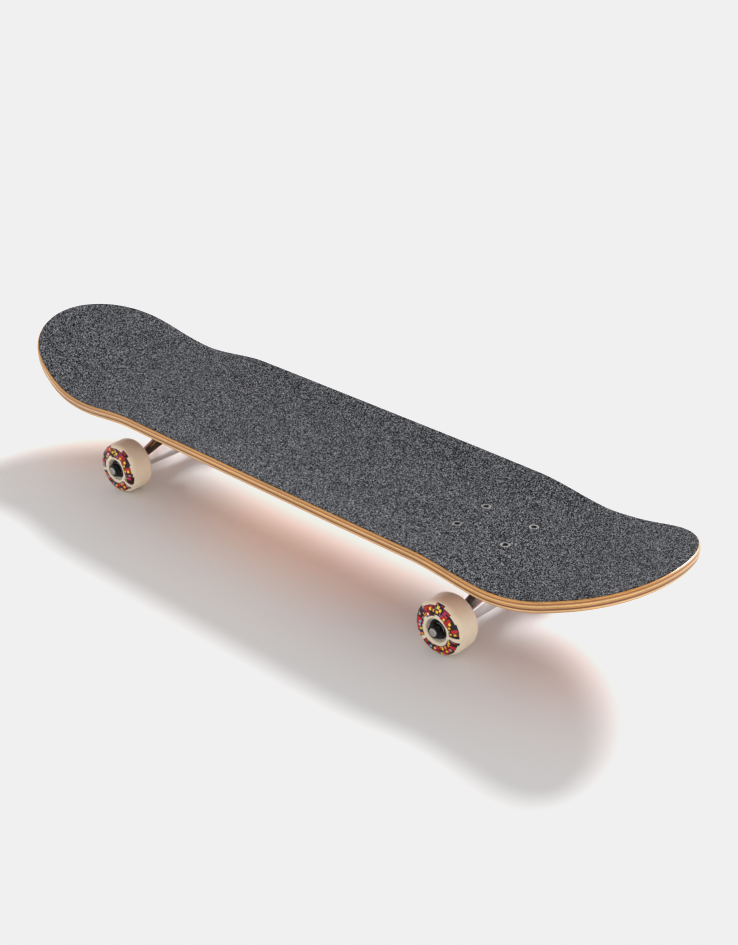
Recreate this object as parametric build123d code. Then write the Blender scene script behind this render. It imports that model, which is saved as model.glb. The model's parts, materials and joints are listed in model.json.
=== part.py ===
"""Skateboard: seven-ply maple deck, two kingpin trucks and four urethane wheels.

Millimetres. +X points to the nose, +Y to the left rail, +Z up. The origin is on the floor,
under the middle of the board's length and width.
"""
from build123d import *
import os
from math import cos, radians, sin, sqrt, tan

os.makedirs("parts", exist_ok=True)

# --- deck outline, seen from above; lengths count from the middle of the wheelbase
HALF_WIDTH = 95.25
NOSE_LENGTH = 400.0
TAIL_LENGTH = 394.5
NOSE_ARCS = [(3900, 2.1), (214, 15.0), (93, 16.2)]  # radius, turn in degrees; a tip arc follows
TAIL_ARCS = [(7700, 1.6), (227, 17.3), (79, 59.7)]
WHEELBASE_X = (TAIL_LENGTH - NOSE_LENGTH) / 2  # middle of the wheelbase

# --- deck section
PLY_COUNT = 7
PLY_THICKNESS = 1.5
DECK_TOP_Z = 87.2  # flat middle of the top ply
DECK_BOTTOM_Z = DECK_TOP_Z - PLY_COUNT * PLY_THICKNESS
GRIP_THICKNESS = 0.8
GRIP_INSET = 1.9
KICK_SLOPE = radians(20)
NOSE_BEND_START = 266.0
NOSE_BEND_RADIUS = 150.0
TAIL_BEND_START = 258.0
TAIL_BEND_RADIUS = 183.0
CONCAVE_LIFT = 8.3  # height of the rails over the flat middle
KICK_LIFT = 0.5  # what is left of it in the kicks
CONCAVE_FULL_TO = 185.0
CONCAVE_GONE_AT = 268.0
FLAT_HALF_WIDTH = 28.0

# --- truck bolts
AXLE_SPACING = 431.4
PATTERN_SPACING = 409.6  # between the middles of the two bolt patterns
BOLT_DX = 53.98
BOLT_DY = 41.28
BOLT_RADIUS = 2.4
BOLT_HOLE_RADIUS = 2.6
BOLT_HEAD_RADIUS = 4.5
BOLT_HEAD_SINK = 0.5  # head's top under the grip tape's top
BOLT_LENGTH = 25.4
MOUNTING_NUT = dict(flats=9.5, height=5.2, bore=BOLT_RADIUS)

# --- truck, in its own frame: +X inboard, +Z up, origin at the bolt pattern's middle
SEAT_GAP = 0.05
PLATE_LENGTH = 82.0
PLATE_WIDTH = 56.0
PLATE_THICKNESS = 5.5
KINGPIN_FOOT = (-4.0, 0.0)  # x, z where the kingpin's axis meets the deck
KINGPIN_LEAN = radians(30)
KINGPIN_RADIUS = 4.76
KINGPIN_HEAD_FLATS = 14.3
HEAD_START = 5.2  # the stack's stations, counted along the kingpin from the deck
HEAD_END = 10.2
SEAT = 16.5
RING_TOP = 31.0
RING_BOTTOM = 38.0
LOWER_BUSHING_END = 48.0
KINGPIN_END = 59.0
CUP_WASHER_THICKNESS = 1.5
CUP_WASHER_LIP = 2.0
BUSHING_RADIUS = 12.2
BUSHING_SMALL_RADIUS = 9.0
RING_RADIUS = 15.5
RING_BORE = 8.0
KINGPIN_NUT = dict(flats=14.3, height=8.0, bore=KINGPIN_RADIUS)

PIVOT = (-29.0, -11.5)  # x, z of the pivot ball's middle
PIVOT_LEAN = radians(50)  # the pivot stub runs inboard and this far down
BALL_RADIUS = 5.5
SOCKET_CLEARANCE = 0.3
PIVOT_CUP_RADIUS = 8.2
PIVOT_HOUSING_RADIUS = 11.0

# --- axle, wheels and bearings; widths run along the axle
WHEEL_RADIUS = 26.5
WHEEL_WIDTH = 30.0
WHEEL_SHOULDER = 8.4
HUB_HOLE_RADIUS = 11.3
AXLE_RADIUS = 3.97
AXLE_LENGTH = 195.2
AXLE_OFFSET = (AXLE_SPACING - PATTERN_SPACING) / 2
HANGER_HALF = 64.5
SPEED_WASHER = 1.0
BEARING_WIDTH = 7.0
BEARING_BORE_RADIUS = 4.0
BEARING_RADIUS = 11.0
SPACER_LENGTH = 10.0
BALL_COUNT = 7
RACE_BALL_RADIUS = 1.98
RACE_PITCH_RADIUS = 7.67
AXLE_NUT = dict(flats=12.7, height=5.6, bore=AXLE_RADIUS)
FIT = 0.05  # radial room between pieces that are fixed together

TRUCK_TOP_Z = DECK_BOTTOM_Z - SEAT_GAP
AXLE = (-AXLE_OFFSET, WHEEL_RADIUS - TRUCK_TOP_Z)  # x, z in the truck's frame
WHEEL_MIDDLE = HANGER_HALF + SPEED_WASHER + BEARING_WIDTH + SPACER_LENGTH / 2
NUT_START = WHEEL_MIDDLE + SPACER_LENGTH / 2 + BEARING_WIDTH + SPEED_WASHER

KINGPIN = Plane(
    origin=(KINGPIN_FOOT[0], 0, KINGPIN_FOOT[1]),
    x_dir=(0, 1, 0),
    z_dir=(sin(KINGPIN_LEAN), 0, -cos(KINGPIN_LEAN)),
)
STUB = Plane(
    origin=(PIVOT[0], 0, PIVOT[1]),
    x_dir=(0, 1, 0),
    z_dir=(cos(PIVOT_LEAN), 0, -sin(PIVOT_LEAN)),
)
AXLE_LINE = Plane(origin=(AXLE[0], 0, AXLE[1]), x_dir=(1, 0, 0), z_dir=(0, 1, 0))


# --- shared shapes
def disc(plane, radius, start, end):
    """Cylinder along a plane's normal, between two stations."""
    return plane * Pos(0, 0, (start + end) / 2) * Cylinder(radius, end - start)


def tube(plane, outer, inner, start, end):
    return disc(plane, outer, start, end) - disc(plane, inner, start, end)


def turned(plane, outline):
    """Solid of revolution about a plane's normal; the outline is (radius, station) points."""
    face = make_face(Polyline(*[(radius, 0, station) for radius, station in outline], close=True))
    return plane * revolve(face, Axis.Z)


def hexagon(plane, flats, start, end):
    profile = plane.offset(start) * RegularPolygon(flats / 2, 6, major_radius=False)
    return extrude(profile, end - start, dir=plane.z_dir)


def lock_nut(plane, start, flats, height, bore):
    """Hexagon with a round collar; the collar holds a plastic ring, returned second."""
    collar_start = start + 0.72 * height
    ring_start = start + 0.80 * height
    end = start + height
    body = hexagon(plane, flats, start, collar_start)
    body &= turned(plane, [
        (0, start), (0.53 * flats, start), (0.58 * flats, start + 0.1 * height),
        (0.58 * flats, collar_start - 0.1 * height), (0.5 * flats, collar_start), (0, collar_start),
    ])
    body += disc(plane, 0.46 * flats, collar_start - 0.1, end)
    seat_radius = bore + 0.5 * (0.46 * flats - bore)
    body -= disc(plane, bore + FIT, start - 1, end + 1)
    body -= disc(plane, seat_radius + FIT, ring_start, end - 0.06 * height)
    ring = tube(plane, seat_radius, bore + FIT, ring_start, end - 0.06 * height)
    return body, ring


def group(pieces):
    """One node from several separate solids."""
    return Compound([solid for piece in pieces for solid in piece.solids()])


# --- deck
def end_outline(length, arcs, inset):
    """Half of one end's outline, from the middle of the wheelbase to the tip on the centre line."""
    x = 0
    y = HALF_WIDTH
    heading = 0
    for radius, turn in arcs:
        x += radius * (sin(heading + radians(turn)) - sin(heading))
        y -= radius * (cos(heading) - cos(heading + radians(turn)))
        heading += radians(turn)
    tip_radius = y / cos(heading)
    straight = length - x - tip_radius * (1 - sin(heading))
    tip_turn = 90 - sum(turn for radius, turn in arcs)
    edges = [Line((0, HALF_WIDTH - inset), (straight, HALF_WIDTH - inset))]
    for radius, turn in arcs + [(tip_radius, tip_turn)]:
        edges.append(JernArc(edges[-1] @ 1, edges[-1] % 1, radius - inset, -turn))
    return Curve() + edges


def deck_prism(inset):
    """Upright block with the deck's outline, to be cut into layers."""
    nose = end_outline(NOSE_LENGTH, NOSE_ARCS, inset)
    tail = mirror(end_outline(TAIL_LENGTH, TAIL_ARCS, inset), about=Plane.YZ)
    left = nose + tail
    outline = make_face(left + mirror(left, about=Plane.XZ))
    return extrude(Pos(WHEELBASE_X, 0, DECK_BOTTOM_Z - 20) * outline, 90).solid()


def bend_height(reach, start, radius, depth):
    """Height along one end: flat, an arc up to the kick's slope, then straight.

    depth is the distance under the deck's top, so that every layer keeps its thickness.
    """
    own_radius = radius + depth
    arc_end = start + own_radius * sin(KICK_SLOPE)
    if reach <= start:
        return -depth
    if reach <= arc_end:
        return radius - sqrt(own_radius ** 2 - (reach - start) ** 2)
    return radius - own_radius * cos(KICK_SLOPE) + (reach - arc_end) * tan(KICK_SLOPE)


def concave_height(reach, y):
    """How far the rails rise over the flat middle."""
    fade = min(max((reach - CONCAVE_FULL_TO) / (CONCAVE_GONE_AT - CONCAVE_FULL_TO), 0), 1)
    lift = CONCAVE_LIFT + (KICK_LIFT - CONCAVE_LIFT) * fade ** 2 * (3 - 2 * fade)
    side = max(abs(y) - FLAT_HALF_WIDTH, 0) / (HALF_WIDTH - GRIP_INSET - FLAT_HALF_WIDTH)
    return lift * side ** 2 * (3 - side) / 2


def deck_height(x, y, depth):
    reach = abs(x - WHEELBASE_X)
    if x > WHEELBASE_X:
        bend = bend_height(reach, NOSE_BEND_START, NOSE_BEND_RADIUS, depth)
    else:
        bend = bend_height(reach, TAIL_BEND_START, TAIL_BEND_RADIUS, depth)
    return DECK_TOP_Z + bend + concave_height(reach, y)


def layer_surface(depth):
    """The surface between two layers, this far under the deck's top."""
    x_steps = 80
    y_steps = 24
    x_reach = 408.0
    y_reach = 99.0
    rows = []
    for i in range(x_steps + 1):
        x = x_reach * (2 * i / x_steps - 1)
        ys = [y_reach * (2 * j / y_steps - 1) for j in range(y_steps + 1)]
        rows.append([(x, y, deck_height(x, y, depth)) for y in ys])
    return Face.make_surface_from_array_of_points(rows, tol=0.01, min_deg=3)


def cut_layers(block, surfaces):
    """The block's slices between successive surfaces, from the top down."""
    slices = []
    for surface in surfaces:
        pieces = sorted(block.split(surface, keep=Keep.ALL), key=lambda piece: piece.center().Z)
        block = pieces[0]
        slices.append(pieces[-1])
    return slices[1:]


def bolt_places():
    """Middle of each of the eight truck bolts, in plan."""
    places = []
    for end in (1, -1):
        for inner in (1, -1):
            for side in (1, -1):
                x = WHEELBASE_X + end * PATTERN_SPACING / 2 + inner * BOLT_DX / 2
                places.append((x, side * BOLT_DY / 2))
    return places


def bolt_plane(x, y):
    """Frame of one bolt: stations count down from the head's top."""
    top = DECK_TOP_Z + GRIP_THICKNESS - BOLT_HEAD_SINK
    return Plane(origin=(x, y, top), x_dir=(1, 0, 0), z_dir=(0, 0, -1))


def bolt_hole(x, y):
    return disc(bolt_plane(x, y), BOLT_HOLE_RADIUS, -5, 40)


def head_pocket(x, y):
    """Room for the bolt's head through the grip tape and into the top plies."""
    return disc(bolt_plane(x, y), BOLT_HEAD_RADIUS + 0.3, -5, BOLT_HEAD_RADIUS - BOLT_RADIUS + 0.5)


def drilled(block, holes):
    for hole in holes:
        block = (block - hole).solid()
    return block


def mounting_bolt(x, y):
    """Flat-head bolt with a cross recess."""
    place = bolt_plane(x, y)
    sink = BOLT_HEAD_RADIUS - BOLT_RADIUS
    rim = 0.3
    chamfered = 0.5
    bolt = turned(place, [
        (0, 0), (BOLT_HEAD_RADIUS - 0.1, 0), (BOLT_HEAD_RADIUS, 0.1), (BOLT_HEAD_RADIUS, rim),
        (BOLT_RADIUS, rim + sink), (BOLT_RADIUS, BOLT_LENGTH - chamfered),
        (BOLT_RADIUS - chamfered, BOLT_LENGTH), (0, BOLT_LENGTH),
    ])
    for turn in (0, 90):
        wing = place * Rot(0, 0, turn + 20) * Pos(0, 0, 0.8) * Box(5.2, 1.2, 1.6)
        bolt -= wing
    return bolt


def build_deck():
    nodes = {}
    holes = [bolt_hole(x, y) for x, y in bolt_places()]
    pockets = [head_pocket(x, y) for x, y in bolt_places()]
    surfaces = [layer_surface(i * PLY_THICKNESS) for i in range(PLY_COUNT + 1)]
    for number, ply in enumerate(cut_layers(deck_prism(0), surfaces), 1):
        nodes[f"ply_{number}"] = drilled(ply, holes + pockets if number <= 2 else holes)
    grip_surfaces = [layer_surface(-GRIP_THICKNESS), surfaces[0]]
    sheet = cut_layers(deck_prism(GRIP_INSET), grip_surfaces)[0]
    nodes["grip_tape"] = drilled(sheet, pockets)

    bolts = [mounting_bolt(x, y) for x, y in bolt_places()]
    nut_start = DECK_TOP_Z + GRIP_THICKNESS - BOLT_HEAD_SINK - DECK_BOTTOM_Z
    nut_start += PLATE_THICKNESS + 2 * SEAT_GAP
    nuts = [lock_nut(bolt_plane(x, y), nut_start, **MOUNTING_NUT) for x, y in bolt_places()]
    nodes["mounting_bolts"] = group(bolts)
    nodes["mounting_nuts"] = group(nut for nut, ring in nuts)
    nodes["mounting_nut_inserts"] = group(ring for nut, ring in nuts)
    return nodes


# --- truck
def section(y, points, rounding):
    """Rounded polygon across the hanger at one station along the axle, (x, z) from the axle."""
    plane = Plane(origin=(AXLE[0], y, AXLE[1]), x_dir=(1, 0, 0), z_dir=(0, -1, 0))
    shape = Polygon(*points, align=None)
    return plane * fillet(shape.vertices(), rounding)


def baseplate():
    """Cast plate with a leaning kingpin boss and a pivot housing."""
    plate = Pos(0, 0, -PLATE_THICKNESS / 2) * Box(PLATE_LENGTH, PLATE_WIDTH, PLATE_THICKNESS)
    plate = fillet(plate.edges().filter_by(Axis.Z), 9)
    plate = fillet(plate.faces().sort_by(Axis.Z)[0].edges(), 1.5)
    boss_foot = 19.0
    boss_top = 13.6
    boss = turned(KINGPIN, [(0, -12), (boss_foot, -12), (boss_foot, 5), (boss_top, SEAT), (0, SEAT)])
    housing = disc(STUB, PIVOT_HOUSING_RADIUS, -14, 2.6)
    web_points = [(-40, -3), (-33, -19), (-22, -15), (-8, -15), (4, -16), (24, -9), (30, -3)]
    web = extrude(Plane.XZ * Polygon(*web_points, align=None), 5.5, both=True)
    under_deck = Pos(0, 0, -50) * Box(200, 200, 100)
    casting = plate + ((boss + housing + web) & under_deck)
    casting -= disc(KINGPIN, RING_RADIUS + 2, SEAT, 3 * SEAT)
    casting -= turned(STUB, [(0, 2.6), (9.5, 2.6), (12.5, 14), (0, 14)])
    casting -= disc(KINGPIN, KINGPIN_RADIUS + FIT, -10, SEAT + 1)
    casting -= hexagon(KINGPIN, KINGPIN_HEAD_FLATS + 2 * FIT, -15, HEAD_END)
    casting -= disc(STUB, PIVOT_CUP_RADIUS + FIT, -8, 5)
    for x in (-BOLT_DX / 2, BOLT_DX / 2):
        for y in (-BOLT_DY / 2, BOLT_DY / 2):
            casting -= Pos(x, y, 0) * Cylinder(BOLT_HOLE_RADIUS, 40)
    return casting


def pivot_cup():
    """Plastic cup in the baseplate; the hanger's pivot ball turns in it."""
    mouth = 3.2
    cup = disc(STUB, PIVOT_CUP_RADIUS, -7.8, mouth)
    cup -= STUB * Sphere(BALL_RADIUS + SOCKET_CLEARANCE)
    cup -= disc(STUB, BALL_RADIUS + SOCKET_CLEARANCE, 0, mouth + 1)
    return cup


def kingpin():
    pin = hexagon(KINGPIN, KINGPIN_HEAD_FLATS, HEAD_START, HEAD_END)
    pin += turned(KINGPIN, [
        (0, HEAD_START), (KINGPIN_RADIUS, HEAD_START), (KINGPIN_RADIUS, KINGPIN_END - 1),
        (KINGPIN_RADIUS - 1, KINGPIN_END), (0, KINGPIN_END),
    ])
    return pin


def bushing(start, start_radius, end, end_radius):
    """Urethane ring with rounded rims."""
    rim = 0.8
    bore = KINGPIN_RADIUS + 3 * FIT
    return turned(KINGPIN, [
        (bore, start), (start_radius - rim, start), (start_radius, start + rim),
        (end_radius, end - rim), (end_radius - rim, end), (bore, end),
    ])


def cup_washer(start, facing, radius):
    """Washer with a lip that holds the bushing's end; facing is +1 or -1 along the kingpin."""
    sheet = CUP_WASHER_THICKNESS
    flat = start + facing * sheet
    lip = flat + facing * CUP_WASHER_LIP
    bore = KINGPIN_RADIUS + FIT
    return turned(KINGPIN, [
        (bore, start), (radius + sheet - 0.5, start), (radius + sheet, start + facing * 0.5),
        (radius + sheet, lip), (radius + 0.3, lip), (radius + 0.3, flat), (bore, flat),
    ])


def hanger():
    """Cast arm across the truck, with the kingpin ring inboard and the pivot ball outboard."""
    root_half = 13.0
    arm_end = 59.0
    root = [(-5.5, 25.5), (-12.5, 14), (-9, -8.8), (7, -8.8), (12, 2), (11, 20), (3, 26)]
    tip = [(-2.5, 7.2), (-8.2, 3.2), (-6.4, -8.8), (5.4, -8.8), (8.2, -2), (7.6, 4), (2, 7.4)]
    body = extrude(section(root_half, root, 2.5), 2 * root_half, dir=(0, -1, 0))
    for side in (1, -1):
        body += loft([
            section(side * root_half, root, 2.5), section(side * arm_end, tip, 2.0),
        ], ruled=True)
    body += disc(AXLE_LINE, 8.3, -HANGER_HALF, HANGER_HALF)
    ring = disc(KINGPIN, RING_RADIUS, RING_TOP, RING_BOTTOM)
    stub = turned(STUB, [(0, 2.5), (3.6, 2.5), (3.9, 8), (7.0, 20), (7.0, 26), (0, 26)])
    body += ring + stub + STUB * Sphere(BALL_RADIUS)
    body -= disc(KINGPIN, RING_BORE, RING_TOP - 10, RING_BOTTOM + 10)
    bushing_room = BUSHING_RADIUS + 0.5
    body -= disc(KINGPIN, bushing_room, SEAT - 4, RING_TOP)
    body -= disc(KINGPIN, bushing_room, RING_BOTTOM, KINGPIN_END)
    body -= disc(AXLE_LINE, AXLE_RADIUS + FIT, -HANGER_HALF - 1, HANGER_HALF + 1)
    return body


def axle():
    half = AXLE_LENGTH / 2
    bevel = 0.8
    return turned(AXLE_LINE, [
        (0, -half), (AXLE_RADIUS - bevel, -half), (AXLE_RADIUS, bevel - half),
        (AXLE_RADIUS, half - bevel), (AXLE_RADIUS - bevel, half), (0, half),
    ])


def outward(side):
    """The axle's line, with stations counted outwards from the truck's middle."""
    return Plane(origin=AXLE_LINE.origin, x_dir=(1, 0, 0), z_dir=(0, side, 0))


def bearing_middles():
    """Stations of the two bearings of one wheel."""
    reach = (SPACER_LENGTH + BEARING_WIDTH) / 2
    return [WHEEL_MIDDLE - reach, WHEEL_MIDDLE + reach]


def race(middle, inner, outer, plane):
    """Bearing ring with its ball groove."""
    half = BEARING_WIDTH / 2
    edge = 0.4
    ring = turned(plane, [
        (inner, middle - half + edge), (inner + edge, middle - half),
        (outer - edge, middle - half), (outer, middle - half + edge),
        (outer, middle + half - edge), (outer - edge, middle + half),
        (inner + edge, middle + half), (inner, middle + half - edge),
    ])
    groove = plane * Pos(0, 0, middle) * Torus(RACE_PITCH_RADIUS, RACE_BALL_RADIUS + 0.12)
    return ring - groove


def inner_rings(plane):
    return [race(m, BEARING_BORE_RADIUS, 6.05, plane) for m in bearing_middles()]


def outer_rings(plane):
    return [race(m, 9.3, BEARING_RADIUS, plane) for m in bearing_middles()]


def shields(plane):
    """Thin pressed rings that close each bearing on both sides."""
    pieces = []
    for middle in bearing_middles():
        for face in (middle - 3.3, middle + 2.95):
            pieces.append(tube(plane, 9.3 - FIT, 6.4, face, face + 0.35))
    return pieces


def ball_places(plane, middle):
    step = 360 / BALL_COUNT
    return [
        plane * Pos(0, 0, middle) * Rot(0, 0, i * step) * Pos(RACE_PITCH_RADIUS, 0, 0)
        for i in range(BALL_COUNT)
    ]


def balls(plane):
    return [
        place * Sphere(RACE_BALL_RADIUS)
        for middle in bearing_middles() for place in ball_places(plane, middle)
    ]


def cages(plane):
    """Crown rings that space the balls."""
    pieces = []
    for middle in bearing_middles():
        crown = tube(plane, 8.4, 6.95, middle - 0.5, middle + 2.75)
        crown -= [place * Sphere(RACE_BALL_RADIUS + FIT) for place in ball_places(plane, middle)]
        pieces.append(crown)
    return pieces


def wheel(plane):
    """Urethane wheel: flat tread, round shoulders, a bearing seat on each side."""
    half = WHEEL_WIDTH / 2
    tread_half = half - WHEEL_SHOULDER
    face_radius = WHEEL_RADIUS - WHEEL_SHOULDER
    seat_end = SPACER_LENGTH / 2 + BEARING_WIDTH
    seat_start = SPACER_LENGTH / 2
    seat_radius = BEARING_RADIUS + 0.02
    web_radius = 9.2
    lip = 1.0

    def side(sign):
        return [
            Line((web_radius, 0), (web_radius, sign * seat_start)),
            Line((web_radius, sign * seat_start), (seat_radius, sign * seat_start)),
            Line((seat_radius, sign * seat_start), (seat_radius, sign * seat_end)),
            Line((seat_radius, sign * seat_end), (HUB_HOLE_RADIUS, sign * seat_end)),
            Line((HUB_HOLE_RADIUS, sign * seat_end), (HUB_HOLE_RADIUS, sign * (half - lip))),
            Line((HUB_HOLE_RADIUS, sign * (half - lip)), (HUB_HOLE_RADIUS + lip, sign * half)),
            Line((HUB_HOLE_RADIUS + lip, sign * half), (face_radius, sign * half)),
            RadiusArc((face_radius, sign * half), (WHEEL_RADIUS, sign * tread_half),
                      sign * WHEEL_SHOULDER),
            Line((WHEEL_RADIUS, sign * tread_half), (WHEEL_RADIUS, 0)),
        ]

    profile = make_face(Curve() + side(1) + side(-1))
    shape = revolve(Plane.XZ * profile, Axis.Z)
    return plane * Pos(0, 0, WHEEL_MIDDLE) * shape


def build_truck(end, place):
    """All the nodes of one truck, end is front or rear."""
    left = outward(1)
    right = outward(-1)
    sides = [left, right]
    wheel_nuts = [lock_nut(plane, NUT_START, **AXLE_NUT) for plane in sides]
    washers = []
    for plane in sides:
        for start in (HANGER_HALF, NUT_START - SPEED_WASHER):
            washers.append(tube(plane, 6.2, AXLE_RADIUS + FIT, start, start + SPEED_WASHER))
    spacers = [
        tube(plane, 5.4, AXLE_RADIUS + FIT, WHEEL_MIDDLE - SPACER_LENGTH / 2,
             WHEEL_MIDDLE + SPACER_LENGTH / 2)
        for plane in sides
    ]
    upper_start = SEAT + CUP_WASHER_THICKNESS
    lower_washer = LOWER_BUSHING_END + CUP_WASHER_THICKNESS
    kingpin_nut, kingpin_ring = lock_nut(KINGPIN, lower_washer, **KINGPIN_NUT)
    nodes = {
        f"baseplate_{end}": baseplate(),
        f"pivot_cup_{end}": pivot_cup(),
        f"kingpin_{end}": kingpin(),
        f"upper_bushing_{end}": bushing(upper_start, BUSHING_RADIUS, RING_TOP, BUSHING_RADIUS),
        f"lower_bushing_{end}": bushing(
            RING_BOTTOM, BUSHING_RADIUS, LOWER_BUSHING_END, BUSHING_SMALL_RADIUS),
        f"bushing_washers_{end}": group([
            cup_washer(SEAT, 1, BUSHING_RADIUS),
            cup_washer(lower_washer, -1, BUSHING_SMALL_RADIUS + 0.6),
        ]),
        f"hanger_{end}": hanger(),
        f"axle_{end}": axle(),
        f"axle_nuts_{end}": group(nut for nut, ring in wheel_nuts),
        f"axle_nut_inserts_{end}": group(ring for nut, ring in wheel_nuts),
        f"axle_washers_{end}": group(washers),
        f"bearing_inner_rings_{end}": group(inner_rings(left) + inner_rings(right)),
        f"bearing_spacers_{end}": group(spacers),
    }
    hand = {"front": (right, left), "rear": (left, right)}[end]
    for name, plane in zip(("left", "right"), hand):
        nodes[f"wheel_{end}_{name}"] = wheel(plane)
        nodes[f"bearing_outer_rings_{end}_{name}"] = group(outer_rings(plane))
        nodes[f"bearing_shields_{end}_{name}"] = group(shields(plane))
        nodes[f"bearing_balls_{end}_{name}"] = group(balls(plane))
        nodes[f"bearing_cages_{end}_{name}"] = group(cages(plane))
    shared = {"kingpin_nuts": kingpin_nut, "kingpin_nut_inserts": kingpin_ring}
    placed = {name: place * shape for name, shape in nodes.items()}
    return placed, {name: place * shape for name, shape in shared.items()}


def build_board():
    front_place = Pos(WHEELBASE_X + PATTERN_SPACING / 2, 0, TRUCK_TOP_Z) * Rot(0, 0, 180)
    rear_place = Pos(WHEELBASE_X - PATTERN_SPACING / 2, 0, TRUCK_TOP_Z)
    front, front_shared = build_truck("front", front_place)
    rear, rear_shared = build_truck("rear", rear_place)
    shared = {name: group([front_shared[name], rear_shared[name]]) for name in front_shared}
    return {**build_deck(), **front, **rear, **shared}


for node_name, shape in build_board().items():
    export_step(shape, f"parts/{node_name}.step")
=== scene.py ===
"""Looks of the skateboard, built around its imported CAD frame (metres, +X nose, +Y left, +Z up)."""
import json
from math import cos, pi, radians, sin, sqrt, tan

import bmesh
import bpy
from mathutils import Euler, Matrix, Vector


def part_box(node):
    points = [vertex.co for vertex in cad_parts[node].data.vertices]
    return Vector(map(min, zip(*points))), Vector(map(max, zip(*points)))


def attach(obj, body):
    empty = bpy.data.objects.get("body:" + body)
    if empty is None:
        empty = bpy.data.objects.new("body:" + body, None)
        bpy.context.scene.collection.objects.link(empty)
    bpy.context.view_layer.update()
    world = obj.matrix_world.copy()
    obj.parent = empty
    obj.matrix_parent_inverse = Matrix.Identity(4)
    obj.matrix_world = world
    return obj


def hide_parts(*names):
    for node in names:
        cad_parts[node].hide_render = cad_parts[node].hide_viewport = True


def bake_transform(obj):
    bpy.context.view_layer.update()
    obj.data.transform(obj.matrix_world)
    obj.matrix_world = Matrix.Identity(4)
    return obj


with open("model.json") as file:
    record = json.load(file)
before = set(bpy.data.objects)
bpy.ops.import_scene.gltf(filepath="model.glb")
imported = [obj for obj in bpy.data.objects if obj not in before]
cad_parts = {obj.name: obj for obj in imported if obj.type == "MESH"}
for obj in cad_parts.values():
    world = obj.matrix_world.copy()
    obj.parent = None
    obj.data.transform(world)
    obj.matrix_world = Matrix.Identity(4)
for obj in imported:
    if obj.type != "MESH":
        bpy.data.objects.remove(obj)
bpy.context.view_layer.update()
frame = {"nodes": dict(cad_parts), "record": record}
MM = 0.001

# --- deck, millimetres, as in the CAD model; lengths count from the middle of the wheelbase
HALF_WIDTH = 95.25
NOSE_LENGTH = 400.0
TAIL_LENGTH = 394.5
NOSE_ARCS = [(3900, 2.1), (214, 15.0), (93, 16.2)]  # radius, turn in degrees; a tip arc follows
TAIL_ARCS = [(7700, 1.6), (227, 17.3), (79, 59.7)]
WHEELBASE_X = (TAIL_LENGTH - NOSE_LENGTH) / 2
PLY_THICKNESS = 1.5
PLY_TONES = [  # from the top down, display values
    (228, 164, 88), (172, 100, 42), (236, 192, 122), (204, 140, 74),
    (126, 70, 32), (244, 200, 134), (200, 124, 58),
]
PLY_COUNT = len(PLY_TONES)
CROSS_PLIES = (3, 5)
DECK_TOP_Z = 87.2
CLEAR_ABOVE_Z = 95.0  # over and under the middle of the deck, where drilled holes begin and end
CLEAR_BELOW_Z = 60.0
DECK_THICKNESS = PLY_COUNT * PLY_THICKNESS
GRIP_THICKNESS = 0.8
GRIP_INSET = 1.9
KICK_SLOPE = radians(20)
NOSE_BEND_START = 266.0
NOSE_BEND_RADIUS = 150.0
TAIL_BEND_START = 258.0
TAIL_BEND_RADIUS = 183.0
CONCAVE_LIFT = 8.3
KICK_LIFT = 0.5
CONCAVE_FULL_TO = 185.0
CONCAVE_GONE_AT = 268.0
FLAT_HALF_WIDTH = 28.0
EDGE_DROP = 3.6  # height of the rounding along the deck's edge; it is GRIP_INSET wide
OUTLINE_STEP = 4.5  # between the points of the outline
SPINE_REACH = 310.0  # half length of the line that a sheet's loops shrink towards
RINGS = [0.0, 0.1, 0.2, 0.3, 0.4, 0.5, 0.6, 0.68, 0.76, 0.84, 0.91, 0.96]  # shares from it to the edge
PATTERN_SPACING = 409.6  # between the middles of the front and rear bolt patterns
BOLT_DX = 53.98
BOLT_DY = 41.28
BOLT_HOLE_RADIUS = 2.6
HEAD_POCKET_RADIUS = 4.8
HEAD_POCKET_DEPTH = 2.6

# --- wheels and bushings, millimetres
WHEEL_RADIUS = 26.5
WHEEL_HALF = 15.0
WHEEL_SHOULDER = 8.4
HUB_HOLE_RADIUS = 11.3
BEARING_SEAT_RADIUS = 11.02
BEARING_FACES = (5.0, 12.0)  # stations of the bearing seat, from the wheel's middle
WEB_RADIUS = 9.2
KINGPIN_LEAN = radians(30)
KINGPIN_BORE = 4.9
UPPER_BUSHING = ((18.0, 12.2), (31.0, 12.2))  # station along the kingpin, radius
LOWER_BUSHING = ((38.0, 12.2), (48.0, 9.0))
TRUCK_TOP_Z = 76.65
KINGPIN_FOOT_X = -4.0  # outboard of the bolt pattern's middle
BUSHING_BULGE = 0.35
CASTING_VOXEL = 0.7  # grid that the castings are remeshed on

# --- wheel print, millimetres and radians
PRINT_MIDDLE_RADIUS = 19.6
PRINT_UNROLL_RADIUS = 19.5
PRINT_HALF_WIDTH = 4.9
PRINT_OUTLINE = 0.6
PRINT_JUMP = 2.4
PRINT_BLOCK_ANGLE = 0.36
PRINT_ARCS = ((radians(70), radians(108)), (radians(-110), radians(62)))  # middle, half length

# --- light and view; the camera's place is in millimetres, its angles in degrees
HORIZON_LIGHT = 1.6
ZENITH_LIGHT = 0.8
PAPER_GREY = 0.871  # everything lit past white shows as this pale grey (linear value)
CAMERA_PLACE = (-912.2, 935.5, 772.9)
CAMERA_HEADING = 222.48
CAMERA_TILT = 28.48
CAMERA_LENS = 58.16


# ------------------------------------------------------------------ node helpers
def material(name, **settings):
    """New material; settings are values set on the Principled shader's own sockets."""
    made = bpy.data.materials.new(name)
    made.use_nodes = True
    shader = made.node_tree.nodes["Principled BSDF"]
    for socket, value in settings.items():
        shader.inputs[socket.replace("_", " ")].default_value = value
    return made


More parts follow.
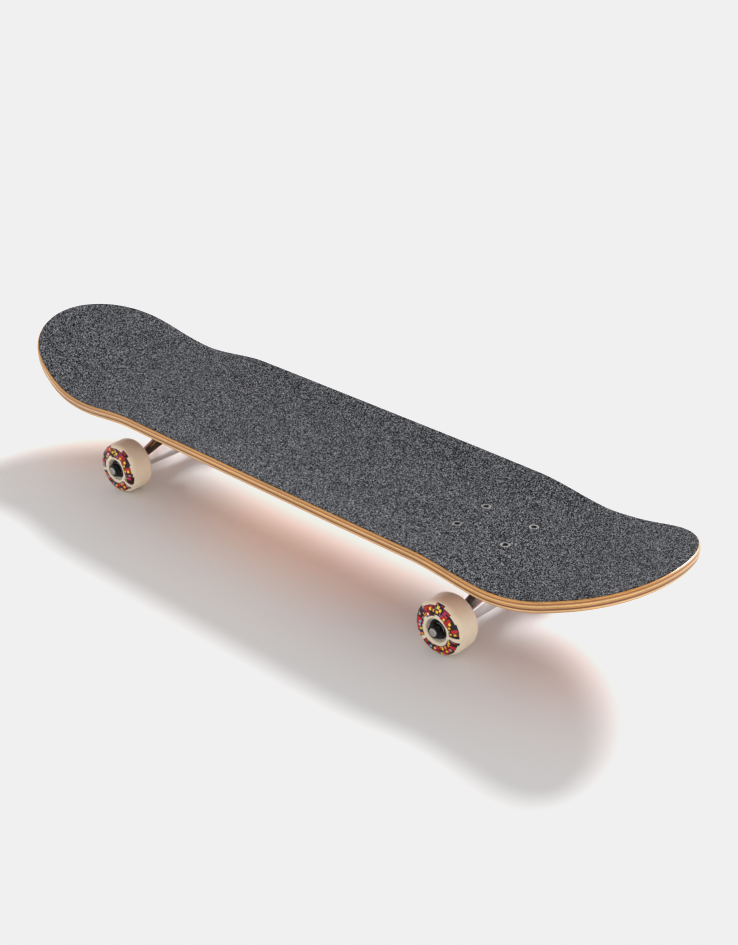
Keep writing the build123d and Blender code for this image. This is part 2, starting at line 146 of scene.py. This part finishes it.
def add(mat, kind, inputs=None, **settings):
    """New node; inputs hold values or sockets to link from."""
    node = mat.node_tree.nodes.new("ShaderNode" + kind)
    for key, value in settings.items():
        setattr(node, key, value)
    for key, value in (inputs or {}).items():
        if isinstance(value, bpy.types.NodeSocket):
            mat.node_tree.links.new(value, node.inputs[key])
        else:
            node.inputs[key].default_value = value
    return node


def shade(mat, **sockets):
    """Link outputs to the Principled shader's sockets."""
    shader = mat.node_tree.nodes["Principled BSDF"]
    for socket, source in sockets.items():
        mat.node_tree.links.new(source, shader.inputs[socket.replace("_", " ")])


def math(mat, operation, a, b=0.0, c=0.0):
    return add(mat, "Math", {0: a, 1: b, 2: c}, operation=operation).outputs[0]


def place(mat, scale=(1, 1, 1), offset=(0, 0, 0)):
    """Object coordinates in metres, scaled and shifted."""
    source = add(mat, "TexCoord").outputs["Object"]
    return add(mat, "Mapping", {"Vector": source, "Scale": scale, "Location": offset}).outputs[0]


def noise(mat, vector, scale, detail=2.0, distortion=0.0):
    return add(mat, "TexNoise", {
        "Vector": vector, "Scale": scale, "Detail": detail, "Distortion": distortion,
    }).outputs["Fac"]


def cells(mat, vector, scale):
    return add(mat, "TexVoronoi", {"Vector": vector, "Scale": scale})


def ramp(mat, factor, stops, interpolation="LINEAR"):
    """Colour ramp; stops are (position, colour), a colour may be one grey value."""
    node = add(mat, "ValToRGB", {"Fac": factor})
    node.color_ramp.interpolation = interpolation
    elements = node.color_ramp.elements
    while len(elements) < len(stops):
        elements.new(0.5)
    for element, (position, colour) in zip(elements, stops):
        element.position = position
        rgb = (colour,) * 3 if isinstance(colour, (int, float)) else colour
        element.color = (*rgb, 1)
    return node.outputs["Color"]


def mix(mat, factor, a, b, blend="MIX"):
    node = add(mat, "Mix", {0: factor, 6: a, 7: b}, data_type="RGBA", blend_type=blend)
    return node.outputs[2]


def bump(mat, height, distance, strength=1.0):
    node = add(mat, "Bump", {"Height": height, "Distance": distance, "Strength": strength})
    shade(mat, Normal=node.outputs[0])


def rgb(red, green, blue):
    """Linear colour from display values, 0 to 255."""
    return tuple(((v / 255 + 0.055) / 1.055) ** 2.4 for v in (red, green, blue))


# ------------------------------------------------------------------ materials
def grip_material():
    """Black silicon-carbide grit: packed dark grains, some painted pale as glints, faintly blue."""
    mat = material("grip", Roughness=0.85, Specular_IOR_Level=0.08)
    at = place(mat)
    coarse = cells(mat, at, 1500)
    fine = cells(mat, at, 2900)
    picks = [add(mat, "SeparateColor", {"Color": grain.outputs["Color"]}).outputs[0]
             for grain in (coarse, fine)]
    pick = math(mat, "MULTIPLY_ADD", picks[0], 0.66, math(mat, "MULTIPLY", picks[1], 0.34))
    # the palest grains are painted highlights, standing for glints off the grit
    grit = ramp(mat, pick, [
        (0.30, (0.001, 0.001, 0.002)), (0.50, (0.003, 0.003, 0.005)), (0.60, (0.011, 0.012, 0.016)),
        (0.70, (0.083, 0.086, 0.099)), (0.82, (0.42, 0.425, 0.45)),
    ])
    patches = ramp(mat, noise(mat, at, 14, 3), [(0.3, 0.9), (0.7, 1.0)])
    shade(mat, Base_Color=mix(mat, 1.0, grit, patches, "MULTIPLY"))
    bump(mat, math(mat, "SUBTRACT", pick, coarse.outputs["Distance"]), 0.0004, 0.8)
    return mat


def ply_material(name, light, crosswise):
    """Sanded and lacquered veneer edge: long fibres, or the speckled ends of crosswise ones."""
    dark = tuple(0.66 * v for v in light)
    mat = material(name, Roughness=0.36, Coat_Weight=0.3, Coat_Roughness=0.12)
    squeeze = (420, 420, 1300) if crosswise else (26, 70, 1300)
    fibres = noise(mat, place(mat, squeeze), 1.0, 4, 0.4)
    slow = noise(mat, place(mat, (9, 40, 120)), 1.0, 2)
    tone = math(mat, "MULTIPLY_ADD", fibres, 0.65, math(mat, "MULTIPLY", slow, 0.35))
    shade(mat, Base_Color=ramp(mat, tone, [(0.34, dark), (0.62, light)]))
    bump(mat, fibres, 0.00008, 0.4)
    return mat


def print_material():
    """Underside print: abstract warm bands with scattered chips, and painted shade darkening it round
    the trucks.
    """
    mat = material("underside_print", Roughness=0.3, Coat_Weight=0.5, Coat_Roughness=0.12)
    axes = add(mat, "SeparateXYZ", {"Vector": place(mat)})
    # painted shade: the print turns dark round the trucks, where the deck's underside lies in shadow
    truck_reach = 0.2
    length_fade = 10
    width_fade = 9
    reach = math(mat, "ABSOLUTE", math(mat, "SUBTRACT", axes.outputs[0], WHEELBASE_X * MM))
    off_truck = math(mat, "ABSOLUTE", math(mat, "SUBTRACT", reach, truck_reach))
    off_middle = math(mat, "MULTIPLY", math(mat, "ABSOLUTE", axes.outputs[1]), width_fade)
    off_zone = math(mat, "MAXIMUM", math(mat, "MULTIPLY", off_truck, length_fade), off_middle)
    painted_shade_zone = ramp(mat, off_zone, [(0.35, 0.22), (0.85, 0.0)])
    drift = noise(mat, place(mat, (4.2, 8.5, 1)), 1.0, 3, 1.6)
    bands = ramp(mat, math(mat, "SUBTRACT", drift, painted_shade_zone), [
        (0.0, rgb(38, 20, 16)), (0.37, rgb(150, 48, 24)), (0.42, rgb(230, 100, 40)),
        (0.47, rgb(247, 164, 72)), (0.53, rgb(252, 200, 142)), (0.58, rgb(240, 124, 56)),
        (0.65, rgb(250, 212, 152)),
    ], "CONSTANT")
    chips = cells(mat, place(mat, offset=(0.3, 0.1, 0)), 85)
    chip_pick = add(mat, "SeparateColor", {"Color": chips.outputs["Color"]})
    chip_colour = ramp(mat, chip_pick.outputs[1], [
        (0.0, rgb(245, 205, 40)), (0.3, rgb(30, 90, 190)), (0.55, rgb(240, 235, 220)),
        (0.75, rgb(20, 20, 24)), (0.9, rgb(60, 160, 110)),
    ], "CONSTANT")
    chip_share = 0.2
    chip_radius = 0.36
    rare = math(mat, "GREATER_THAN", chip_pick.outputs[0], 1 - chip_share)
    near = math(mat, "LESS_THAN", chips.outputs["Distance"], chip_radius)
    art = mix(mat, math(mat, "MULTIPLY", rare, near), bands, chip_colour)
    worn = ramp(mat, noise(mat, place(mat, (40, 260, 1)), 1.0, 5), [(0.25, 0.8), (0.5, 1.0)])
    shade(mat, Base_Color=mix(mat, 1.0, art, worn, "MULTIPLY"))
    bump(mat, noise(mat, place(mat, (60, 900, 900)), 1.0, 3), 0.00008, 0.4)
    return mat


def metal_material(name, colour, roughness, spread=0.12, grain=2600):
    """Bare or plated metal with fine tooling marks and an uneven sheen."""
    mat = material(name, Metallic=1.0)
    at = place(mat)
    cloud = noise(mat, at, 160, 4)
    tone = ramp(mat, cloud, [(0.3, tuple(0.86 * v for v in colour)), (0.7, colour)])
    fine = noise(mat, at, grain, 3)
    mixed = math(mat, "MULTIPLY_ADD", cloud, spread, roughness - spread / 2)
    shade(mat, Base_Color=tone, Roughness=math(mat, "MULTIPLY_ADD", fine, 0.08, mixed))
    bump(mat, fine, 0.00003, 0.6)
    return mat


def bolt_material():
    """Countersunk heads: a worn bright rim round a dark, dirty recess."""
    mat = metal_material("bolt_steel", (0.5, 0.5, 0.5), 0.42, 0.2, 3000)
    axes = add(mat, "SeparateXYZ", {"Vector": place(mat)}).outputs
    reach = math(mat, "ABSOLUTE", math(mat, "SUBTRACT", axes[0], WHEELBASE_X * MM))
    along = math(mat, "ABSOLUTE", math(mat, "SUBTRACT", reach, PATTERN_SPACING / 2 * MM))
    u = math(mat, "SUBTRACT", along, BOLT_DX / 2 * MM)
    v = math(mat, "SUBTRACT", math(mat, "ABSOLUTE", axes[1]), BOLT_DY / 2 * MM)
    radius = math(mat, "SQRT", math(mat, "MULTIPLY_ADD", u, u, math(mat, "MULTIPLY", v, v)))
    ragged = math(mat, "MULTIPLY_ADD", noise(mat, place(mat), 420, 3), 0.003, radius)
    rim = ramp(mat, math(mat, "MULTIPLY", ragged, 100),
               [(0.34, 0.008), (0.42, 0.04), (0.48, 0.18), (0.54, 0.26), (0.60, 0.04)])
    shade(mat, Base_Color=rim)
    return mat


def cast_material():
    """Tumble-polished aluminium casting: faint orange peel and soft pits."""
    mat = material("cast_aluminium", Metallic=1.0)
    at = place(mat)
    peel = noise(mat, at, 420, 3)
    pits = cells(mat, at, 700).outputs["Distance"]
    cloud = noise(mat, at, 60, 4)
    tone = ramp(mat, cloud, [(0.3, (0.66, 0.66, 0.67)), (0.7, (0.84, 0.84, 0.85))])
    rough = math(mat, "MULTIPLY_ADD", cloud, 0.16, 0.1)
    shade(mat, Base_Color=tone, Roughness=rough)
    bump(mat, math(mat, "MULTIPLY_ADD", pits, 0.2, peel), 0.00012, 0.35)
    return mat


def plastic_material(name, colour, roughness, grain=900):
    """Moulded plastic with a fine matte texture."""
    mat = material(name)
    at = place(mat)
    cloud = noise(mat, at, 120, 3)
    shade(mat, Base_Color=ramp(mat, cloud, [(0.3, tuple(0.8 * v for v in colour)), (0.7, colour)]),
          Roughness=math(mat, "MULTIPLY_ADD", cloud, 0.15, roughness))
    bump(mat, noise(mat, at, grain, 2), 0.00005, 0.5)
    return mat


def urethane_material(name, turn):
    """Cream wheel urethane; the outer face carries two printed arcs of abstract colour blocks."""
    tread = rgb(240, 225, 200)
    mat = material(name, Subsurface_Weight=0.25, Subsurface_Scale=0.004,
                   Subsurface_Radius=(1.0, 0.7, 0.4), Specular_IOR_Level=0.35)
    at = place(mat)
    cloud = noise(mat, at, 90, 3)
    base = ramp(mat, cloud, [(0.3, tuple(0.93 * v for v in tread)), (0.7, tread)])
    shade(mat, Roughness=math(mat, "MULTIPLY_ADD", cloud, 0.12, 0.34))
    bump(mat, noise(mat, at, 1500, 2), 0.00003, 0.4)

    x, y, z = add(mat, "SeparateXYZ", {"Vector": at}).outputs
    radius = math(mat, "SQRT", math(mat, "MULTIPLY_ADD", x, x, math(mat, "MULTIPLY", z, z)))
    angle = math(mat, "ARCTAN2", z, x)
    blocks = math(mat, "DIVIDE", math(mat, "SUBTRACT", angle, turn), PRINT_BLOCK_ANGLE)
    block = math(mat, "FLOOR", blocks)
    off_centre = math(mat, "ABSOLUTE", math(mat, "SUBTRACT", math(mat, "FRACT", blocks), 0.5))
    gap_from = 0.44
    gap = math(mat, "GREATER_THAN", off_centre, gap_from)
    jump = add(mat, "TexWhiteNoise", {"W": block}, noise_dimensions="1D").outputs["Value"]
    centred = math(mat, "SUBTRACT", jump, 0.5)
    uneven = math(mat, "MULTIPLY_ADD", centred, PRINT_JUMP * MM, radius)

    def arcs(room):
        """1 within either printed arc, drawn in by room millimetres from the arcs' outline."""
        within = []
        for middle, half in PRINT_ARCS:
            turned = math(mat, "COSINE", math(mat, "SUBTRACT", angle, turn + middle))
            limit = cos(half - room / PRINT_UNROLL_RADIUS)
            within.append(math(mat, "GREATER_THAN", turned, limit))
        off_ring = math(mat, "ABSOLUTE", math(mat, "SUBTRACT", uneven, PRINT_MIDDLE_RADIUS * MM))
        ring = math(mat, "LESS_THAN", off_ring, (PRINT_HALF_WIDTH - room) * MM)
        return math(mat, "MULTIPLY", math(mat, "MAXIMUM", *within), ring)

    along = math(mat, "MULTIPLY", angle, PRINT_UNROLL_RADIUS * MM)
    flat = add(mat, "CombineXYZ", {"X": along, "Y": uneven, "Z": 0.0}).outputs[0]
    tiles = add(mat, "TexVoronoi", {"Vector": flat, "Scale": 300, "Randomness": 0.62},
                distance="CHEBYCHEV")
    picks = add(mat, "SeparateColor", {"Color": tiles.outputs["Color"]}).outputs
    core = ramp(mat, picks[0], [
        (0.0, rgb(238, 226, 52)), (0.50, rgb(206, 34, 38)), (0.62, rgb(120, 205, 225)),
        (0.76, rgb(240, 245, 240)), (0.84, rgb(34, 92, 176)), (0.92, rgb(240, 170, 40)),
    ], "CONSTANT")
    rim = ramp(mat, picks[1], [(0.0, rgb(206, 30, 36)), (0.85, rgb(20, 60, 140))], "CONSTANT")
    distance = tiles.outputs["Distance"]
    rim_from = 0.33
    edge_from = 0.46
    outer_face_from = 0.002
    inked = mix(mat, math(mat, "GREATER_THAN", distance, rim_from), core, rim)
    edges = math(mat, "MAXIMUM", math(mat, "GREATER_THAN", distance, edge_from), gap)
    inked = mix(mat, edges, inked, (*rgb(20, 8, 10), 1))
    outer = math(mat, "GREATER_THAN", y, outer_face_from)
    ink = mix(mat, math(mat, "MULTIPLY", arcs(0), outer), base, (*rgb(16, 8, 10), 1))
    shade(mat, Base_Color=mix(mat, math(mat, "MULTIPLY", arcs(PRINT_OUTLINE), outer), ink, inked))
    return mat


def floor_material():
    """Plain pale studio floor."""
    mat = material("studio_floor", Roughness=0.9, Specular_IOR_Level=0.1)
    tone = ramp(mat, noise(mat, place(mat), 0.6, 2), [(0.0, 0.80), (1.0, 0.815)])
    shade(mat, Base_Color=tone)
    return mat


# ------------------------------------------------------------------ mesh helpers
def new_object(name, verts, faces, mats):
    mesh = bpy.data.meshes.new(name)
    mesh.from_pydata(verts, [], faces)
    mesh.validate()
    obj = bpy.data.objects.new(name, mesh)
    bpy.context.scene.collection.objects.link(obj)
    for mat in mats:
        mesh.materials.append(mat)
    mesh.polygons.foreach_set("use_smooth", [True] * len(mesh.polygons))
    return obj


def apply_modifiers(obj):
    """Bake an object's modifiers into its mesh."""
    graph = bpy.context.evaluated_depsgraph_get()
    baked = bpy.data.meshes.new_from_object(obj.evaluated_get(graph))
    obj.modifiers.clear()
    obj.data = baked


def clean(obj):
    """Merge doubled points, drop faces without area, and turn the rest outward."""
    work = bmesh.new()
    work.from_mesh(obj.data)
    bmesh.ops.remove_doubles(work, verts=work.verts, dist=0.00001)
    bmesh.ops.dissolve_degenerate(work, edges=work.edges, dist=0.000001)
    bmesh.ops.recalc_face_normals(work, faces=work.faces)
    work.to_mesh(obj.data)
    work.free()
    return obj


def smooth_by_angle(obj, degrees):
    """Smooth shading, with edges sharper than the angle kept sharp."""
    work = bmesh.new()
    work.from_mesh(obj.data)
    for face in work.faces:
        face.smooth = True
    for edge in work.edges:
        edge.smooth = not (edge.is_manifold and edge.calc_face_angle(0) > radians(degrees))
    work.to_mesh(obj.data)
    work.free()


def lathe(name, profile, mats, segments):
    """Closed ring from a (radius, station) profile in millimetres, turned about its own Y axis."""
    count = len(profile)
    verts = []
    for i in range(segments):
        turn = 2 * pi * i / segments
        verts += [(r * cos(turn) * MM, s * MM, r * sin(turn) * MM) for r, s in profile]
    faces = []
    for i in range(segments):
        a = i * count
        b = (i + 1) % segments * count
        faces += [(a + j, a + (j + 1) % count, b + (j + 1) % count, b + j) for j in range(count)]
    return clean(new_object(name, verts, faces, mats))


def rounded(profile, radius, steps):
    """Profile with each corner cut by a short arc."""
    points = []
    for i, corner in enumerate(profile):
        here = Vector(corner)
        before = Vector(profile[i - 1]) - here
        after = Vector(profile[(i + 1) % len(profile)]) - here
        reach = min(radius, 0.4 * before.length, 0.4 * after.length)
        start = here + before.normalized() * reach
        end = here + after.normalized() * reach
        for k in range(steps + 1):
            t = k / steps
            points.append(tuple(start * (1 - t) ** 2 + here * 2 * t * (1 - t) + end * t ** 2))
    return points


# ------------------------------------------------------------------ deck
def end_outline(length, arcs):
    """One end's half outline as points with outward normals, from the middle to the tip."""
    x = 0
    y = HALF_WIDTH
    heading = 0
    for radius, turn in arcs:
        x += radius * (sin(heading + radians(turn)) - sin(heading))
        y -= radius * (cos(heading) - cos(heading + radians(turn)))
        heading += radians(turn)
    tip_radius = y / cos(heading)
    straight = length - x - tip_radius * (1 - sin(heading))
    tip_turn = 90 - sum(turn for radius, turn in arcs)
    count = round(straight / OUTLINE_STEP)
    points = [(straight * i / count, HALF_WIDTH, 0.0) for i in range(count)]
    x = straight
    y = HALF_WIDTH
    heading = 0
    for radius, turn in arcs + [(tip_radius, tip_turn)]:
        count = max(round(radius * radians(turn) / OUTLINE_STEP), 4)
        for i in range(count):
            at = heading + radians(turn) * i / count
            points.append((
                x + radius * (sin(at) - sin(heading)), y - radius * (cos(heading) - cos(at)), at))
        end = heading + radians(turn)
        x += radius * (sin(end) - sin(heading))
        y -= radius * (cos(heading) - cos(end))
        heading = end
    points.append((length, 0.0, pi / 2))
    return [(px, py, sin(at), cos(at)) for px, py, at in points]


def deck_outline():
    """Closed loop of (x, y, normal x, normal y) around the deck, from the wheelbase's middle."""
    nose = end_outline(NOSE_LENGTH, NOSE_ARCS)
    tail = end_outline(TAIL_LENGTH, TAIL_ARCS)
    left = [(-x, y, -nx, ny) for x, y, nx, ny in reversed(tail[1:])] + nose
    right = [(x, -y, nx, -ny) for x, y, nx, ny in reversed(left[1:-1])]
    return left + right


def bend_height(reach, start, radius, depth):
    """Rise of a kick over the flat middle: an arc from start on, then a straight slope."""
    own_radius = radius + depth
    arc_end = start + own_radius * sin(KICK_SLOPE)
    if reach <= start:
        return -depth
    if reach <= arc_end:
        return radius - sqrt(own_radius ** 2 - (reach - start) ** 2)
    return radius - own_radius * cos(KICK_SLOPE) + (reach - arc_end) * tan(KICK_SLOPE)


def deck_height(x, y, depth):
    """Height of a layer that lies this deep under the deck's top; x from the wheelbase's middle."""
    reach = abs(x)
    if x > 0:
        bend = bend_height(reach, NOSE_BEND_START, NOSE_BEND_RADIUS, depth)
    else:
        bend = bend_height(reach, TAIL_BEND_START, TAIL_BEND_RADIUS, depth)
    fade = min(max((reach - CONCAVE_FULL_TO) / (CONCAVE_GONE_AT - CONCAVE_FULL_TO), 0), 1)
    lift = CONCAVE_LIFT + (KICK_LIFT - CONCAVE_LIFT) * fade ** 2 * (3 - 2 * fade)
    side = max(abs(y) - FLAT_HALF_WIDTH, 0) / (HALF_WIDTH - GRIP_INSET - FLAT_HALF_WIDTH)
    return DECK_TOP_Z + bend + lift * side ** 2 * (3 - side) / 2


def edge_inset(depth):
    """How far the deck's rounded edge stands in from its widest line."""
    near = min(depth, DECK_THICKNESS - depth)
    if near >= EDGE_DROP:
        return 0.0
    return GRIP_INSET * (1 - sqrt(1 - ((EDGE_DROP - near) / EDGE_DROP) ** 2))


def layer(name, levels, mats):
    """Sheet with the deck's outline; levels are (depth, inset) pairs down its edge."""
    outline = deck_outline()
    count = len(outline)

    def loop(share, depth, inset):
        made = []
        for x, y, nx, ny in outline:
            spine = min(max(x, -SPINE_REACH), SPINE_REACH)
            ex = x - nx * inset
            ey = y - ny * inset
            px = spine + (ex - spine) * share
            py = ey * share
            made.append(((px + WHEELBASE_X) * MM, py * MM, deck_height(px, py, depth) * MM))
        return made

    top = levels[0]
    bottom = levels[-1]
    loops = [loop(share, *top) for share in RINGS]
    loops += [loop(1.0, depth, inset) for depth, inset in levels]
    loops += [loop(share, *bottom) for share in reversed(RINGS)]
    verts = [point for ring in loops for point in ring]
    faces = []
    for i in range(len(loops) - 1):
        for j in range(count):
            k = (j + 1) % count
            faces.append((i * count + j, i * count + k, (i + 1) * count + k, (i + 1) * count + j))
    obj = new_object(name, verts, faces, mats)
    underside = len(faces) - len(RINGS) * count
    for face in obj.data.polygons[underside:]:
        face.material_index = len(mats) - 1
    return clean(obj)


def bolt_places():
    """The eight bolts' (x, y), millimetres."""
    for end in (1, -1):
        for inner in (1, -1):
            for side in (1, -1):
                x = WHEELBASE_X + end * PATTERN_SPACING / 2 + inner * BOLT_DX / 2
                yield x, side * BOLT_DY / 2


def drill(obj, radius, floor_z):
    """Cut the eight bolt holes from over the deck down to floor_z."""
    work = bmesh.new()
    for x, y in bolt_places():
        at = Matrix.Translation((x * MM, y * MM, (floor_z + CLEAR_ABOVE_Z) / 2 * MM))
        bmesh.ops.create_cone(work, cap_ends=True, segments=40, radius1=radius * MM,
                              radius2=radius * MM, depth=(CLEAR_ABOVE_Z - floor_z) * MM,
                              matrix=at)
    mesh = bpy.data.meshes.new("drill")
    work.to_mesh(mesh)
    work.free()
    cutter = bpy.data.objects.new("drill", mesh)
    bpy.context.scene.collection.objects.link(cutter)
    cut = obj.modifiers.new("drill", "BOOLEAN")
    cut.operation = "DIFFERENCE"
    cut.solver = "EXACT"
    cut.object = cutter
    apply_modifiers(obj)
    bpy.data.objects.remove(cutter)


def build_deck():
    """The seven veneers and the grip tape."""
    pocket_floor = DECK_TOP_Z - HEAD_POCKET_DEPTH
    for number, tone in enumerate(PLY_TONES, 1):
        crosswise = number in CROSS_PLIES
        lowest = number == PLY_COUNT
        mats = [ply_material(f"ply_{number}_wood", rgb(*tone), crosswise)]
        if lowest:
            mats.append(print_material())
        depths = [PLY_THICKNESS * (number - 1 + k / 3) for k in range(4)]
        ply = layer(f"ply_{number}_veneer", [(d, edge_inset(d)) for d in depths], mats)
        drill(ply, BOLT_HOLE_RADIUS, CLEAR_BELOW_Z)
        if DECK_TOP_Z - depths[0] > pocket_floor:
            drill(ply, HEAD_POCKET_RADIUS, pocket_floor)
        smooth_by_angle(ply, 30)
        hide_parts(f"ply_{number}")
        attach(ply, "deck")
    soft = 0.15
    levels = [
        (-GRIP_THICKNESS, GRIP_INSET + soft), (soft - GRIP_THICKNESS, GRIP_INSET), (0, GRIP_INSET)]
    grip = layer("grip_sheet", levels, [grip_material()])
    drill(grip, HEAD_POCKET_RADIUS, CLEAR_BELOW_Z)
    smooth_by_angle(grip, 35)
    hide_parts("grip_tape")
    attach(grip, "deck")


# ------------------------------------------------------------------ wheels
def wheel_profile():
    """Closed (radius, station) loop; the outer face is at the positive station."""
    tread_half = WHEEL_HALF - WHEEL_SHOULDER
    face_radius = WHEEL_RADIUS - WHEEL_SHOULDER
    seat_start, seat_end = BEARING_FACES
    lip = 0.9

    def half(sign):
        bore = [
            (WEB_RADIUS, sign * seat_start), (BEARING_SEAT_RADIUS, sign * seat_start),
            (BEARING_SEAT_RADIUS, sign * seat_end), (HUB_HOLE_RADIUS, sign * seat_end),
            (HUB_HOLE_RADIUS, sign * (WHEEL_HALF - lip)),
            (HUB_HOLE_RADIUS + lip * 0.35, sign * (WHEEL_HALF - lip * 0.35)),
            (HUB_HOLE_RADIUS + lip, sign * WHEEL_HALF),
        ]
        face = [(r, sign * WHEEL_HALF) for r in (13.0, 14.2, 15.5, 17.0)]  # flat outer face
        steps = 16
        arc = [(face_radius + WHEEL_SHOULDER * sin(pi / 2 * i / steps),
                sign * (tread_half + WHEEL_SHOULDER * cos(pi / 2 * i / steps)))
               for i in range(steps + 1)]
        return bore + face + arc

    return half(1) + list(reversed(half(-1)))


def build_wheels():
    """The four wheels; each end's print stands at its own turn."""
    for end, turn in (("front", 0.5), ("rear", 0.0)):
        urethane = urethane_material(f"wheel_urethane_{end}", turn)
        for hand in ("left", "right"):
            low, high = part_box(f"wheel_{end}_{hand}")
            wheel = lathe(f"urethane_{end}_{hand}", wheel_profile(), [urethane], segments=200)
            smooth_by_angle(wheel, 40)
            wheel.location = (low + high) / 2
            wheel.rotation_euler = Euler((0, 0, 0 if hand == "left" else pi))
            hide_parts(f"wheel_{end}_{hand}")
            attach(wheel, f"{end}_{hand}_wheel")


# ------------------------------------------------------------------ trucks
def cast_copy(node, name, mat):
    """Casting with soft fillets: the CAD shape remeshed finely and relaxed."""
    obj = bpy.data.objects.new(name, frame["nodes"][node].data.copy())
    bpy.context.scene.collection.objects.link(obj)
    obj.data.materials.clear()
    obj.data.materials.append(mat)
    remesh = obj.modifiers.new("remesh", "REMESH")
    remesh.mode = "VOXEL"
    remesh.voxel_size = CASTING_VOXEL * MM
    relax = obj.modifiers.new("relax", "SMOOTH")
    relax.factor = 0.5
    relax.iterations = 5
    apply_modifiers(obj)
    obj.data.polygons.foreach_set("use_smooth", [True] * len(obj.data.polygons))
    return obj


def bushing(name, end, ends, mat):
    """Urethane ring around the kingpin; also the kingpin's foot (metres) and direction."""
    (start, start_radius), (stop, stop_radius) = ends
    steps = 14
    bore_steps = 6
    outer = []
    for i in range(steps + 1):
        t = i / steps
        hollow = BUSHING_BULGE * (1 - sin(pi * t))
        outer.append((start_radius + (stop_radius - start_radius) * t - hollow,
                      start + (stop - start) * t))
    bore = [(KINGPIN_BORE, start + (stop - start) * (1 - i / bore_steps))
            for i in range(bore_steps + 1)]
    profile = rounded(outer, radius=0.5, steps=2) + rounded(bore, radius=0.3, steps=1)
    ring = lathe(name, profile, [mat], segments=96)
    smooth_by_angle(ring, 45)
    inboard = -1 if end == "front" else 1
    pattern_x = WHEELBASE_X - inboard * PATTERN_SPACING / 2
    foot = Vector((pattern_x + inboard * KINGPIN_FOOT_X, 0, TRUCK_TOP_Z)) * MM
    down = Vector((inboard * sin(KINGPIN_LEAN), 0, -cos(KINGPIN_LEAN)))
    turn = Vector((0, 1, 0)).rotation_difference(down).to_matrix().to_4x4()
    ring.data.transform(Matrix.Translation(foot) @ turn)
    return ring, foot, down


def build_trucks():
    """Hangers, baseplates and the bushings between them."""
    casting = cast_material()
    urethane = plastic_material("bushing_urethane", rgb(118, 58, 30), 0.3, 500)
    for end in ("front", "rear"):
        hanger = cast_copy(f"hanger_{end}", f"hanger_casting_{end}", casting)
        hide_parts(f"hanger_{end}")
        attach(hanger, f"{end}_hanger")
        plate = cast_copy(f"baseplate_{end}", f"baseplate_casting_{end}", casting)
        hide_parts(f"baseplate_{end}")
        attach(plate, "deck")
        for level, ends in (("upper", UPPER_BUSHING), ("lower", LOWER_BUSHING)):
            ring, foot, down = bushing(f"{level}_bushing_ring_{end}", end, ends, urethane)
            stations = [ends[0][0], ends[1][0]]
            if level == "lower":
                stations.reverse()
            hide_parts(f"{level}_bushing_{end}")
            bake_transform(ring)


# ------------------------------------------------------------------ carried-over CAD nodes
def finish_nodes():
    """Finer materials for the CAD nodes that stay visible."""
    finishes = {
        "bolt_steel": bolt_material(),
        "black_steel": metal_material("black_oxide_steel", (0.035, 0.035, 0.038), 0.42),
        "zinc_steel": metal_material("zinc_steel", (0.62, 0.63, 0.66), 0.3),
        "axle_steel": metal_material("axle_steel", (0.5, 0.49, 0.47), 0.36, 0.2, 3500),
        "bearing_steel": metal_material("bearing_steel", (0.62, 0.62, 0.63), 0.2),
        "ball_steel": metal_material("ball_steel", (0.78, 0.78, 0.79), 0.08, 0.05),
        "black_shield": metal_material("shield_black", (0.03, 0.03, 0.032), 0.34),
        "nylon": plastic_material("nylon", rgb(225, 225, 218), 0.5),
        "pivot_plastic": plastic_material("pivot_plastic", rgb(38, 38, 40), 0.5),
    }
    for part in frame["record"]["subparts"]:
        finish = finishes.get(part["material_slot"])
        if finish:
            for material_slot in frame["nodes"][part["node"]].material_slots:
                material_slot.material = finish


# ------------------------------------------------------------------ studio
def build_floor():
    """A wide square of floor under the wheels."""
    reach = 14.0
    floor = new_object("floor", [(-reach, -reach, 0), (reach, -reach, 0), (reach, reach, 0),
                                 (-reach, reach, 0)], [(0, 1, 2, 3)], [floor_material()])


def far_light(name, azimuth, elevation, spread, strength):
    """Sun lamp at azimuth degrees from +X towards +Y; spread is its angular size in degrees."""
    data = bpy.data.lights.new(name, "SUN")
    data.angle = radians(spread)
    data.energy = strength
    lamp = bpy.data.objects.new(name, data)
    lamp.rotation_euler = Euler((0, radians(90 - elevation), radians(azimuth)))
    bpy.context.scene.collection.objects.link(lamp)


def build_light():
    """Soft white surroundings, brighter near the horizon, one broad key, and the view curve."""
    world = bpy.data.worlds.new("studio")
    world.use_nodes = True
    tree = world.node_tree
    direction = tree.nodes.new("ShaderNodeTexCoord").outputs["Generated"]
    axes = tree.nodes.new("ShaderNodeSeparateXYZ")
    height = tree.nodes.new("ShaderNodeMapRange")
    height.inputs["From Max"].default_value = 0.5
    height.inputs["To Min"].default_value = HORIZON_LIGHT
    height.inputs["To Max"].default_value = ZENITH_LIGHT
    tree.links.new(direction, axes.inputs[0])
    tree.links.new(axes.outputs["Z"], height.inputs["Value"])
    tree.links.new(height.outputs[0], tree.nodes["Background"].inputs["Strength"])
    tree.nodes["Background"].inputs["Color"].default_value = (1, 1, 1, 1)
    bpy.context.scene.world = world
    view = bpy.context.scene.view_settings
    view.view_transform = "Standard"
    view.use_curve_mapping = True
    view.curve_mapping.extend = "HORIZONTAL"
    view.curve_mapping.curves[3].points[1].location = (1.0, PAPER_GREY)
    view.curve_mapping.update()
    far_light("key", azimuth=-80, elevation=37.5, spread=16, strength=4.7)


def build_camera():
    """Camera behind the tail and to its left, looking down across the board towards the nose."""
    data = bpy.data.cameras.new("camera")
    data.sensor_fit = "VERTICAL"
    data.sensor_height = 36.0
    data.lens = CAMERA_LENS
    data.clip_end = 60
    camera = bpy.data.objects.new("camera", data)
    camera.location = Vector(CAMERA_PLACE) * MM
    camera.rotation_euler = Euler((radians(90 - CAMERA_TILT), 0, radians(CAMERA_HEADING)))
    bpy.context.scene.collection.objects.link(camera)
    bpy.context.scene.camera = camera


build_camera()
finish_nodes()
build_deck()
build_wheels()
build_trucks()
build_floor()
build_light()
